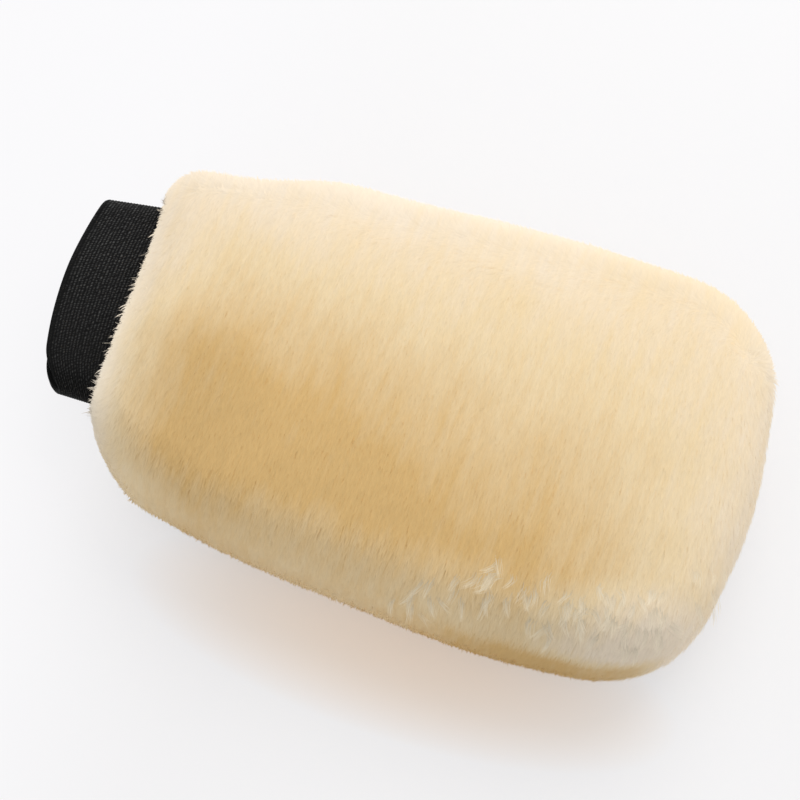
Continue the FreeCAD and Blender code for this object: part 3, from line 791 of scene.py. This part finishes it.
def tape_section():
    """One ring round the tape's edge: share of the way in from the mouth, height over the middle."""
    rows = np.arange(TAPE_RIBS * RIB_POINTS + 1) / (TAPE_RIBS * RIB_POINTS)
    ribbed = TAPE_THICK / 2 + RIB_HEIGHT * (0.5 - 0.5 * np.cos(rows * TAPE_RIBS * FULL_TURN))
    back = np.linspace(1, 0, TAPE_RIBS // 2 + 1)
    plain = np.full(len(back), -TAPE_THICK / 2)
    return np.concatenate([np.stack([rows, ribbed], axis=1), np.array(BACK_RIM) * [1, TAPE_THICK],
                           np.stack([back, plain], axis=1), np.array(MOUTH_RIM) * [1, TAPE_THICK]])


def mouth_place(y):
    """Where the cuff's mouth lies along X: bowed between its folds, softened at the near one."""
    bow = MOUTH_BEND - np.sqrt(MOUTH_BEND**2 - (y - BOW_TO_FAR)**2)
    corner = np.clip((-y - CORNER_FROM) / CORNER_WIDE, 0, 1)
    return cuff_low.x + MOUTH_IN + bow + CORNER_DEEP * (1 - np.sqrt(1 - corner**2))


def tape_points(stations, section):
    """The points of the tape, ring by ring: bowed at the mouth, rippled there, flared inside."""
    y, z, out_y, out_z = (values[:, None] for values in stations.T)
    inward, rise = section.T
    start = mouth_place(y)
    x = start + inward * (cuff_high.x - BACK_IN - start)
    ripple = sum(np.sin(y / MM / length + shift) * high for length, shift, high in RIPPLES) * MM
    rise = rise + ripple * np.clip(1 - inward * RIPPLE_FADE, 0, 1) * abs(out_z)
    flare = FLARE * np.clip(inward / FLARE_IN, 0, 1) * np.clip(y / FLARE_FAR, 0, 1) ** 2
    return np.stack([x, y + flare + out_y * rise, z + out_z * rise], axis=2)


MAP_SPARE = 1.01  # room at the edges of the colour map
MAP_CORNER = 0.999  # where the two cut ends of the tape lie on it


def elastic_loop():
    """The cuff: one length of woven elastic, rolled into a flat loop, its ends butted below."""
    stations, walked = loop_route()
    section = tape_section()
    points = tape_points(stations, section)
    rings, ring = points.shape[:2]
    along, place = np.meshgrid(np.arange(rings - 1), np.arange(ring), indexing="ij")
    here, after = along * ring + place, along * ring + (place + 1) % ring
    faces = np.stack([here, after, after + ring, here + ring], axis=-1).reshape(-1, 4).tolist()
    faces += [list(range(ring))[::-1], list(range((rings - 1) * ring, rings * ring))]
    data = bpy.data.meshes.new("cuff_elastic")
    data.from_pydata(points.reshape(-1, 3).tolist(), [], faces)
    corners = np.empty(len(data.loops), int)
    data.loops.foreach_get("vertex_index", corners)
    tape = np.stack(np.broadcast_arrays(walked[:, None] / MM, section[:, 0] * TAPE_RIBS), axis=2)
    tape = tape.reshape(-1, 2)[corners]
    data.uv_layers.new(name="Tape").data.foreach_set("uv", tape.ravel())
    square = np.stack([along.reshape(-1, 1) + [0, 0, 1, 1], place.reshape(-1, 1) + [0, 1, 1, 0]],
                      axis=2).reshape(-1, 2)
    baking = np.full((len(corners), 2), MAP_CORNER)
    baking[:len(square)] = square / [rings * MAP_SPARE, ring * MAP_SPARE]
    data.uv_layers.new(name="OFBake").data.foreach_set("uv", baking.ravel())
    piece = add_object("cuff_elastic", data)
    mend_normals(piece)
    data.materials.append(elastic_finish())
    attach(piece, "root")
    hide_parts("cuff_band")


CRISP_ANGLE = math.radians(50)  # edges that turn by more than this stay crisp


def mend_normals(piece):
    """Turns the faces outwards and makes them smooth, with the folds of the section kept crisp."""
    alone(piece)
    bpy.ops.object.mode_set(mode="EDIT")
    bpy.ops.mesh.select_all(action="SELECT")
    bpy.ops.mesh.normals_make_consistent(inside=False)
    bpy.ops.object.mode_set(mode="OBJECT")
    bpy.ops.object.shade_smooth_by_angle(angle=CRISP_ANGLE)


elastic_loop()


# Leather and threads -----------------------------------------------------------------------------

SUEDE_LIGHT, SUEDE_DARK = rgb("D8C4A0"), rgb("C9B08A")
THREAD_DARK = 0.7  # a thread's shade between its strands


def suede_finish():
    """The flesh side of the hide: soft blotches and a short nap."""
    r = Recipe("suede")
    place = r.place()
    nap = r.noise(place, 1.2, detail=4.0)
    colour = r.blend(r.noise(place, 22.0, detail=2.0), SUEDE_LIGHT, SUEDE_DARK)
    relief = r.bump(nap, strength=0.4, distance=0.4 * MM)
    coat = r.add("BsdfPrincipled", {}, {"Base Color": colour, "Roughness": 0.9, "Normal": relief})
    return r.finish(coat)


def thread_finish(name, colour):
    """Sewing thread, darker between its strands."""
    r = Recipe(name)
    twist = r.noise(r.place(), 0.5, detail=1.0)
    shade = r.blend(twist, colour, tuple(share * THREAD_DARK for share in colour[:3]) + (1.0,))
    relief = r.bump(twist, strength=0.5, distance=0.2 * MM)
    coat = r.add("BsdfPrincipled", {}, {"Base Color": shade, "Roughness": 0.7, "Normal": relief})
    return r.finish(coat)


def dress_node(node, material):
    """Gives its finish to a solid that keeps its own shape."""
    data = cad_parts[node].data
    data.materials.clear()
    data.materials.append(material)


suede = suede_finish()
for hide in ("back_hide", "palm_hide"):
    dress_node(hide, suede)
dress_node("side_seam_stitches", thread_finish("seam_thread", rgb("E4D6B4")))
dress_node("cuff_seam_stitches", thread_finish("cuff_thread", rgb("26262A")))
dress_node("cuff_joint_stitches", thread_finish("joint_thread", rgb("1A1A1D")))


# Floor and light ---------------------------------------------------------------------------------

FLOOR_SIZE = 8
PAINTED_BOUNCE_PATCH = ((30.0, -88.0), (110.0, 37.0))  # painted warm shade and bounce light from the wool: middle and reach, in millimetres, beside the wool
PAPER, BOUNCE_PAPER = rgb("F7F7F8"), rgb("F5E3D0")
GLOW, BOUNCE_GLOW = (0.97, 0.965, 0.98, 1.0), rgb("F6E6D8")
GLOW_SHARE, CUFF_GLOW, CUFF_FADE = 0.55, 0.35, (-150.0, -30.0)  # more of it on the cuff's side: painted light that pales the cuff's shadow
KEY_PLACE, KEY_SIZE, KEY_POWER = Vector((0.2, 1.35, 1.35)), 1.8, 21  # metres, metres and watts
KEY_COLOUR = (1.0, 0.985, 0.96)
SKY_STRENGTH = 0.62


def floor_finish():
    """Pale paper, lit from behind as well, so that shadows stay light; with painted warm bounce light
    beside the wool.
    """
    r = Recipe("studio_floor")
    x, y = r.parts(r.place())[:2]
    # painted warm shade and bounce light beside the wool
    tint = r.spot(x, y, *PAINTED_BOUNCE_PATCH)
    paper = r.add("BsdfDiffuse", {}, {"Color": r.blend(tint, PAPER, BOUNCE_PAPER)})
    glow = r.add("Emission", {}, {"Color": r.blend(tint, GLOW, BOUNCE_GLOW), "Strength": 1.0})
    seen = r.add("LightPath", output=0) + r.add("LightPath", output=3)
    share = GLOW_SHARE + (1.0 - x.ramp(*CUFF_FADE)) * CUFF_GLOW
    return r.finish(r.add("MixShader", {}, {0: seen.held() * share, 1: paper, 2: glow}))


def key_light():
    """One broad lamp, high on the far side."""
    data = bpy.data.lights.new("key", "AREA")
    data.shape, data.size, data.energy, data.color = "DISK", KEY_SIZE, KEY_POWER, KEY_COLOUR
    lamp = add_object("key", data)
    lamp.location = KEY_PLACE
    lamp.rotation_euler = (-KEY_PLACE).to_track_quat("-Z", "Y").to_euler()


bpy.ops.mesh.primitive_plane_add(size=FLOOR_SIZE)
floor = bpy.context.object
floor.name = "studio_floor_plane"
floor.data.materials.append(floor_finish())

world = bpy.data.worlds.new("Studio")
bpy.context.scene.world = world
world.use_nodes = True
sky = world.node_tree.nodes["Background"].inputs
sky["Color"].default_value = (1.0, 1.0, 1.0, 1.0)
sky["Strength"].default_value = SKY_STRENGTH
key_light()
